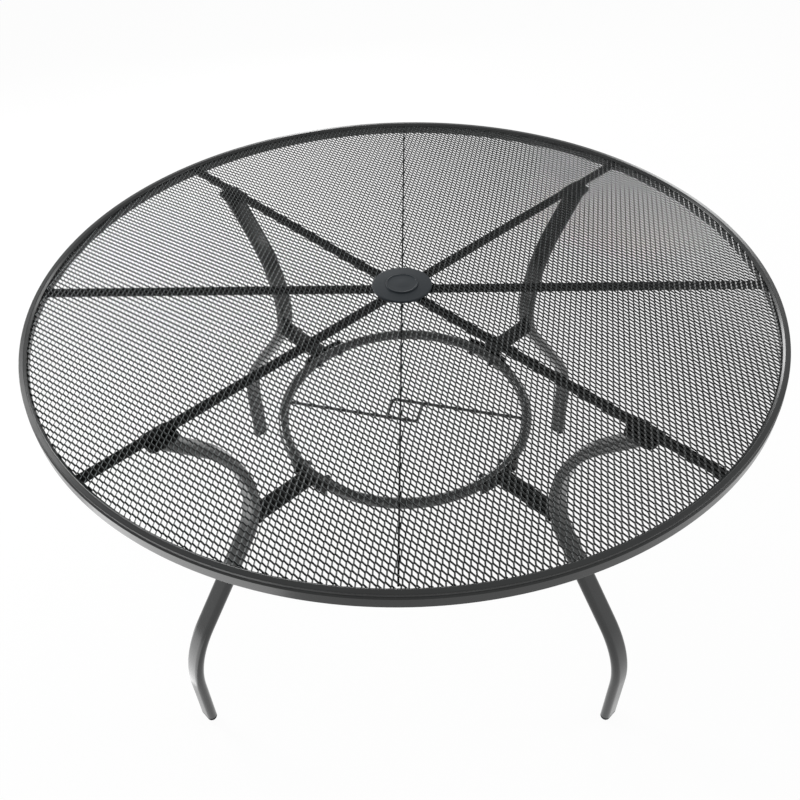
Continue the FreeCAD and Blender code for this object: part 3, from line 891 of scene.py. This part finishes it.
def leg_line():
    """Centre line of a leg and its lean, from the pad down to the foot glide.

    Five stretches follow each other without a kink: a straight one, the upper bend to the
    waist, the lower bend, a straight one and the ankle bend, which ends upright.
    """
    lean = np.linspace(-UPPER_LEAN, 0.0, 22)
    upper = bend((WAIST_RADIUS + UPPER_BEND, WAIST_LEVEL), UPPER_BEND, -1, lean)
    lean_low = np.linspace(0.0, LOWER_LEAN, 18)[1:]
    lower = bend((WAIST_RADIUS + LOWER_BEND, WAIST_LEVEL), LOWER_BEND, -1, lean_low)
    lean_ankle = np.linspace(LOWER_LEAN, 0.0, 16)
    ankle_x = FOOT_RADIUS - ANKLE_BEND * (1.0 - math.cos(LOWER_LEAN))
    reach = (ankle_x - lower[-1, 0]) / math.sin(LOWER_LEAN)
    ankle_z = lower[-1, 1] - reach * math.cos(LOWER_LEAN)
    centre = (FOOT_RADIUS - ANKLE_BEND, ankle_z - ANKLE_BEND * math.sin(LOWER_LEAN))
    ankle = bend(centre, ANKLE_BEND, 1, lean_ankle)
    rise = PAD_LOW.z - upper[0, 1]
    top = upper[0] + np.array([math.tan(UPPER_LEAN), 1.0]) * rise
    foot = np.array([[FOOT_RADIUS, FOOT_TOP]])
    line = np.concatenate([top[None], upper, lower, ankle, foot])
    leans = np.concatenate([[-UPPER_LEAN], lean, lean_low, lean_ankle, [0.0]])
    return line, leans


def leg_shape(sizes):
    """Flat oval carried down the leg, cut level under the pad.

    The section's thickness lies square to the line, along (cos lean, sin lean). In the
    first section it lies level instead and is longer by one over the cosine of the lean.
    """
    line, leans = leg_line()
    centres = np.stack([line[:, 0], np.zeros(len(line)), line[:, 1]], axis=1)
    lift = np.stack([np.cos(leans), np.zeros(len(leans)), np.sin(leans)], axis=1)
    lift[0] = (1.0 / math.cos(leans[0]), 0.0, 0.0)
    outline = flat_oval(sizes.leg_width, sizes.leg_thickness)
    return closed_tube(carried(centres, (0, 1, 0), lift, outline)), centres[0]


def plate_shape(centre_x, low, high, edge):
    """Plate with rounded corners and softened edges, centred on the X axis."""
    length, width, corner = PAD_SIZE
    insets = np.array([edge, 0.3 * edge, 0.0, 0.0, 0.3 * edge, edge])
    levels = np.array([low, low + 0.3 * edge, low + edge, high - edge, high - 0.3 * edge, high])
    outlines = [rounded_rectangle(length - 2 * i, width - 2 * i, corner - i, 7) for i in insets]
    return stacked(outlines, levels, centre_x)


def leg_screw(x):
    """Pan head screw under the leg pad, with a low washer and a hexagon socket.

    Its outlines are circles stacked down from the pad; the last ones turn into a hexagon
    that goes back up into the head.
    """
    low = PAD_LOW.z
    radii = np.array([4.0, 4.0, 3.8, 3.5, 3.5, 3.2, 2.7, 2.3]) * MM
    drops = np.array([0.0, 0.7, 1.0, 1.0, 2.6, 3.4, 3.8, 3.8]) * MM
    circles = [polygon_outline(24, r) for r in radii]
    socket = hexagon_outline(24, 3.6 * MM * math.cos(math.pi / 6.0))
    outlines = circles + [socket, socket]
    levels = low - np.concatenate([drops, [3.8 * MM, 1.9 * MM]])
    return stacked(outlines, levels, x)


class UMBRELLATABLE_OT_legs(bpy.types.Operator):
    """Build the four legs with their pads, plates, screws and welds."""

    bl_idname = "umbrella_table.legs"
    bl_label = "Build Legs"

    def execute(self, context):
        sizes = context.scene.table_sizes
        leg, top = leg_shape(sizes)
        pad = plate_shape(top[0] - PAD_SHIFT, PAD_LOW.z, PAD_HIGH.z, 0.8 * MM)
        plate = plate_shape(top[0] - PAD_SHIFT, PLATE_LOW.z, PLATE_HIGH.z, 0.6 * MM)
        outline = flat_oval(sizes.leg_width, sizes.leg_thickness)
        loop = np.stack(
            [top[0] + outline[:, 1] / math.cos(UPPER_LEAN), outline[:, 0],
             np.full(len(outline), PAD_LOW.z)], axis=1)
        weld = bead(evenly(loop, BEAD_STEP), 1.8 * MM)
        screws = joined([leg_screw(top[0] + place) for place in SCREW_PLACES])
        for name, azimuth in CORNERS.items():
            for label, shape, material, node in (
                ("leg_tube_", leg, TUBE_COAT, "leg_"),
                ("leg_plate_", pad, PAINTED_SHADE_BAR_COAT, "leg_pad_"),
                ("under_plate_", plate, PAINTED_SHADE_BAR_COAT, "bar_plate_"),
                ("leg_weld_", weld, WELD_COAT, None),
            ):
                piece(label + name, spun(shape, [azimuth]), 32.0, material,
                      replaces=[node + name] if node else ())
        piece("leg_screws", spun(screws, CORNERS.values()), 30.0, OXIDE)
        return {"FINISHED"}


class UMBRELLATABLE_OT_feet(bpy.types.Operator):
    """Build the four foot glides."""

    bl_idname = "umbrella_table.feet"
    bl_label = "Build Feet"

    def execute(self, context):
        sizes = context.scene.table_sizes
        # The glide is a little smaller than the tube all round
        play = 0.1 * MM
        insets = np.array([4.2, 2.6, 1.3, 0.5, 0.1, 0.0, 0.0, 0.15, 0.5]) * MM
        levels = np.array([0.0, 0.4, 1.3, 2.6, 4.0, 5.0, 8.3, 8.8, 9.0]) * MM
        thickness, width = sizes.leg_thickness - 2 * play, sizes.leg_width - 2 * play
        outlines = [
            rounded_rectangle(thickness - 2 * i, width - 2 * i, thickness / 2.0 - i, 12)
            for i in insets]
        shoe = stacked(outlines, levels, FOOT_RADIUS)
        for name, azimuth in CORNERS.items():
            piece("glide_" + name, spun(shoe, [azimuth]), 32.0, GLIDE_PLASTIC,
                  replaces=["foot_glide_" + name])
        return {"FINISHED"}


# ---------------------------------------------------------------- stretcher ring


RING_RADIUS = 228.0 * MM
RING_CORNER = 9.0 * MM
SADDLE_THICKNESS = 3.0 * MM
ARM_SIZE = (34.0 * MM, 18.0 * MM)
BOLT_SPACING = 26.0 * MM
FASTENER_FLATS = 10.0 * MM
WASHER_RADIUS = 5.6 * MM
SHANK_RADIUS = 3.0 * MM


def radial_stack(outlines, reaches):
    """Outlines across the X axis, stacked outwards along it at the level of the ring."""
    reaches = np.asarray(reaches, float)
    centres = np.stack(
        [reaches, np.zeros(len(reaches)), np.full(len(reaches), RING_LEVEL)], axis=1)
    return closed_tube(carried(centres, (0, 1, 0), (0, 0, 1), outlines))


def hexagon_nut(start, end, across_flats):
    """Hexagon from one reach to another, with the corners of its outer end turned off.

    The outline at the outer end is the hexagon limited to a circle of nine tenths of its
    corners' reach.
    """
    corner = across_flats / 2.0 / math.cos(math.pi / 6.0)
    full = hexagon_outline(36, across_flats)
    end_face = hexagon_outline(36, across_flats, 0.9 * corner)
    towards = start + 0.8 * (end - start)
    return radial_stack([full, full, end_face], [start, towards, end])


def domed_head(start, height, across_flats):
    """Domed head of a bolt, which points inwards along the X axis.

    A hexagon makes about the first two fifths. The rest is a dome of circles whose radius is
    the root of one minus the square of the share of the dome's height.
    """
    hexagon = hexagon_outline(36, across_flats)
    share = np.array([0.0, 0.25, 0.5, 0.7, 0.85, 0.95, 0.995])
    base = 0.42 * height
    circles = [polygon_outline(36, 0.47 * across_flats * math.sqrt(1.0 - t * t)) for t in share]
    reaches = [start, start - base, *(start - base - share * (height - base))]
    return radial_stack([hexagon, hexagon] + circles, reaches)


def ring_fastener():
    """Washer and bolt head inside the ring; washer, nut and bolt end on the saddle."""
    half = (RING_HIGH.z - RING_LOW.z) / 2.0
    inner = RING_RADIUS - half - 0.1 * MM
    outer = RING_RADIUS + half + SADDLE_THICKNESS
    tail = [polygon_outline(20, r) for r in (SHANK_RADIUS, SHANK_RADIUS, 2.3 * MM)]
    washer = [polygon_outline(28, WASHER_RADIUS)] * 2
    return joined([
        radial_stack(washer, [inner + 0.4 * MM, inner - 0.7 * MM]),
        radial_stack(washer, [outer - 0.4 * MM, outer + 0.7 * MM]),
        domed_head(inner - 0.7 * MM, 7.7 * MM, FASTENER_FLATS),
        hexagon_nut(outer + 0.6 * MM, outer + 5.0 * MM, FASTENER_FLATS),
        radial_stack(tail, [outer, outer + 6.4 * MM, outer + 7.0 * MM]),
    ])


class UMBRELLATABLE_OT_ring(bpy.types.Operator):
    """Build the stretcher ring, its arms, their welds, and the bolts."""

    bl_idname = "umbrella_table.ring"
    bl_label = "Build Stretcher Ring"

    def execute(self, context):
        sizes = context.scene.table_sizes
        tube = rounded_rectangle(sizes.ring_tube, sizes.ring_tube, RING_CORNER, 7)
        profile = tube + np.array([RING_RADIUS, RING_LEVEL])
        piece("stretcher_tube", revolved(profile, sizes.ring_segments // 2), 40.0, TUBE_COAT,
              replaces=["stretcher_ring"])
        saddle_face = RING_RADIUS + sizes.ring_tube / 2.0 + SADDLE_THICKNESS
        outline = flat_oval(*ARM_SIZE)
        bend_x, bend_r = WAIST_RADIUS + LOWER_BEND, LOWER_BEND + sizes.leg_thickness / 2.0
        height = RING_LEVEL + outline[:, 1] - WAIST_LEVEL
        at_leg = np.stack(
            [bend_x - np.sqrt(bend_r**2 - height**2), outline[:, 0], height + WAIST_LEVEL], 1)
        at_ring = loop_on_cylinder(outline, saddle_face, RING_LEVEL)
        sunk = np.array([2.0 * MM, 0.0, 0.0])
        arm = closed_tube(np.stack([at_ring - 0.3 * sunk, at_leg + sunk]))
        welds = joined([
            bead(evenly(at_leg, BEAD_STEP), 1.9 * MM), bead(evenly(at_ring, BEAD_STEP), 1.5 * MM)])
        for name, azimuth in CORNERS.items():
            piece("arm_tube_" + name, spun(arm, [azimuth]), 35.0, PAINTED_SHADE_BAR_COAT,
                  replaces=["arm_" + name])
            piece("arm_weld_" + name, spun(welds, [azimuth]), 60.0, WELD_COAT)
        offset = math.degrees(math.asin(BOLT_SPACING / RING_RADIUS))
        places = [azimuth + s * offset for azimuth in CORNERS.values() for s in (-1, 1)]
        piece("saddle_fasteners", spun(ring_fastener(), places), 25.0, OXIDE,
              replaces=["ring_bolts", "ring_nuts"])
        return {"FINISHED"}


# Pole guide: each wire passes one side of a square and bends along the next
WIRE_TURN = -13.0
WIRE_SIDE = 25.0 * MM
WIRE_END = 29.0 * MM
WIRE_BEND = 7.0 * MM
# How far its two ends sink into the ring and into the other wire
RING_SINK = 0.5 * MM
END_SINK = 0.3 * MM


class UMBRELLATABLE_OT_guide(bpy.types.Operator):
    """Build the two bent wires of the pole guide."""

    bl_idname = "umbrella_table.guide"
    bl_label = "Build Pole Guide"

    def execute(self, context):
        sizes = context.scene.table_sizes
        inner = RING_RADIUS - sizes.ring_tube / 2.0
        radius = sizes.wire_diameter / 2.0
        start = np.array([[-math.sqrt(inner**2 - WIRE_SIDE**2) - RING_SINK, -WIRE_SIDE]])
        turn = np.linspace(-math.pi / 2.0, 0.0, 9)
        corner = np.stack(
            [WIRE_END - WIRE_BEND + WIRE_BEND * np.cos(turn),
             WIRE_BEND - WIRE_SIDE + WIRE_BEND * np.sin(turn)], 1)
        end = np.array([[WIRE_END, WIRE_SIDE - radius + END_SINK]])
        line = np.concatenate([start, corner, end])
        ahead = np.stack([-np.sin(turn), np.cos(turn)], 1)
        ahead = np.concatenate([[[1.0, 0.0]], ahead, [[0.0, 1.0]]])
        side = np.stack([-ahead[:, 1], ahead[:, 0], np.zeros(len(ahead))], 1)
        centres = np.concatenate([line, np.full((len(line), 1), RING_LEVEL)], 1)
        wire = closed_tube(carried(centres, side, (0, 0, 1), polygon_outline(16, radius)))
        circle = polygon_outline(24, radius)
        loop = np.stack(
            [np.full(24, start[0, 0] + 1.2 * MM), circle[:, 0] - WIRE_SIDE,
             circle[:, 1] + RING_LEVEL], 1)
        weld = bead(evenly(loop, 0.6 * MM), 1.1 * MM, pitch=2.4 * MM)
        for name, azimuth in (("left", 0.0), ("right", 180.0)):
            piece("guide_rod_" + name, spun(wire, [WIRE_TURN + azimuth]), 35.0, TUBE_COAT,
                  replaces=["guide_wire_" + name])
        piece("guide_welds", spun(weld, [WIRE_TURN, WIRE_TURN + 180.0]), 60.0, WELD_COAT)
        return {"FINISHED"}


# ---------------------------------------------------------------- stage


# Where the camera stands and how it is turned
CAMERA_PLACE = (24.0 * MM, -1149.0 * MM, 1532.0 * MM)
CAMERA_PAN = math.radians(-1.63)
CAMERA_PITCH = math.radians(42.89)
CAMERA_ROLL = math.radians(-1.63)
IMAGE_SIDE = 800.0
FOCAL_PIXELS = 841.2
TOP_MIDDLE = (0.0, 0.0, 0.7)


class UMBRELLATABLE_OT_stage(bpy.types.Operator):
    """Set the floor, the soft studio lamps, the world and the camera."""

    bl_idname = "umbrella_table.stage"
    bl_label = "Set Stage"

    # Name, place, target, size and power of each lamp, in metres and watts
    lamps = (
        ("Left floor card", (-1.0, -0.75, 0.02), (-1.0, -0.75, 1.0), 1.1, 5.5),
        ("Low rear softbox", (-0.5, 2.85, 1.25), TOP_MIDDLE, 0.8, 20.0),
        ("Right rear softbox", (1.45, 2.75, 2.1), TOP_MIDDLE, 0.7, 9.5),
        ("Left softbox", (-2.4, 1.3, 1.55), TOP_MIDDLE, 1.1, 52.0),
        ("Upper left softbox", (-1.8, 1.67, 2.65), TOP_MIDDLE, 0.45, 3.3),
        ("Right high softbox", (2.5, 0.2, 2.5), TOP_MIDDLE, 0.9, 16.0),
    )

    def execute(self, context):
        self.floor(context)
        self.world(context)
        for lamp in self.lamps:
            self.lamp(context, *lamp)
        self.camera(context)
        return {"FINISHED"}

    def floor(self, context):
        """Square floor far wider than the table, just under the feet."""
        reach, low = 6.0, -0.3 * MM
        corners = [(-reach, -reach, low), (reach, -reach, low), (reach, reach, low),
                   (-reach, reach, low)]
        mesh = bpy.data.meshes.new("studio_floor")
        mesh.from_pydata(corners, [], [(0, 1, 2, 3)])
        mesh.materials.append(bpy.data.materials[FLOOR_PAINT])
        ground = bpy.data.objects.new("studio_floor", mesh)
        context.scene.collection.objects.link(ground)

    def world(self, context):
        """Even pale surroundings, white where the camera or a reflection sees them."""
        world = bpy.data.worlds.new("Studio surroundings")
        world.use_nodes = True
        tree = world.node_tree
        tree.nodes.clear()
        # How bright the surroundings are as a light, and as they are seen
        plain, white = (
            add_node(tree, "ShaderNodeBackground",
                     inputs={"Color": linear("#ffffff"), "Strength": strength})
            for strength in (0.5, 1.0))
        mix = add_node(
            tree, "ShaderNodeMixShader",
            links={0: seen_directly(tree), 1: plain.outputs[0], 2: white.outputs[0]})
        add_node(tree, "ShaderNodeOutputWorld", links={"Surface": mix.outputs[0]})
        context.scene.world = world

    def lamp(self, context, name, place, target, size, power):
        """Square area lamp that faces a target."""
        data = bpy.data.lights.new(name, "AREA")
        data.size = size
        data.energy = power
        holder = bpy.data.objects.new(name, data)
        holder.visible_camera = False
        context.scene.collection.objects.link(holder)
        place, target = np.array(place), np.array(target)
        back = (place - target) / np.linalg.norm(place - target)
        right = np.cross((0.0, 1.0, 0.01), back)
        right /= np.linalg.norm(right)
        above = np.cross(back, right)
        holder.matrix_world = Matrix(
            [[right[k], above[k], back[k], place[k]] for k in range(3)] + [[0, 0, 0, 1]])

    def camera(self, context):
        """Camera that looks down by its pitch, turned by its pan and rolled."""
        pan, pitch, roll = CAMERA_PAN, CAMERA_PITCH, CAMERA_ROLL
        ahead = np.array([math.sin(pan) * math.cos(pitch), math.cos(pan) * math.cos(pitch),
                          -math.sin(pitch)])
        right = np.cross(ahead, (0.0, 0.0, 1.0))
        right /= np.linalg.norm(right)
        above = np.cross(right, ahead)
        rolled_right = math.cos(roll) * right + math.sin(roll) * above
        rolled_above = math.cos(roll) * above - math.sin(roll) * right
        data = bpy.data.cameras.new("Photograph camera")
        data.sensor_width = 36.0
        data.lens = FOCAL_PIXELS / IMAGE_SIDE * data.sensor_width
        holder = bpy.data.objects.new("Photograph camera", data)
        context.scene.collection.objects.link(holder)
        holder.matrix_world = Matrix(
            [[rolled_right[k], rolled_above[k], -ahead[k], CAMERA_PLACE[k]] for k in range(3)]
            + [[0, 0, 0, 1]])
        context.scene.camera = holder
        context.scene.view_settings.view_transform = "Standard"


class UMBRELLATABLE_PT_panel(bpy.types.Panel):
    """Sidebar panel that lists the table's sizes, finishes and build steps."""

    bl_idname = "UMBRELLATABLE_PT_panel"
    bl_label = "Umbrella Table"
    bl_space_type = "VIEW_3D"
    bl_region_type = "UI"
    bl_category = "Umbrella Table"

    def draw(self, context):
        layout = self.layout
        for group in (context.scene.table_sizes, context.scene.table_finishes):
            box = layout.box()
            for key in group.__annotations__:
                box.prop(group, key)
        for step in STEPS:
            layout.operator(step.bl_idname)


STEPS = (
    UMBRELLATABLE_OT_finishes,
    UMBRELLATABLE_OT_mesh,
    UMBRELLATABLE_OT_rim,
    UMBRELLATABLE_OT_bars,
    UMBRELLATABLE_OT_hub,
    UMBRELLATABLE_OT_legs,
    UMBRELLATABLE_OT_feet,
    UMBRELLATABLE_OT_ring,
    UMBRELLATABLE_OT_guide,
    UMBRELLATABLE_OT_stage,
)
CLASSES = (TableSizes, TableFinishes) + STEPS + (UMBRELLATABLE_PT_panel,)


def register():
    """Register the classes and put the two groups on the scene."""
    for item in CLASSES:
        bpy.utils.register_class(item)
    bpy.types.Scene.table_sizes = PointerProperty(type=TableSizes)
    bpy.types.Scene.table_finishes = PointerProperty(type=TableFinishes)


def unregister():
    """Take the groups off the scene and the classes out."""
    del bpy.types.Scene.table_finishes
    del bpy.types.Scene.table_sizes
    for item in reversed(CLASSES):
        bpy.utils.unregister_class(item)


def main():
    """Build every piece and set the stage."""
    register()
    bpy.ops.umbrella_table.finishes()
    bpy.ops.umbrella_table.mesh()
    bpy.ops.umbrella_table.rim()
    bpy.ops.umbrella_table.bars()
    bpy.ops.umbrella_table.hub()
    bpy.ops.umbrella_table.legs()
    bpy.ops.umbrella_table.feet()
    bpy.ops.umbrella_table.ring()
    bpy.ops.umbrella_table.guide()
    bpy.ops.umbrella_table.stage()


if __name__ == "__main__":
    main()
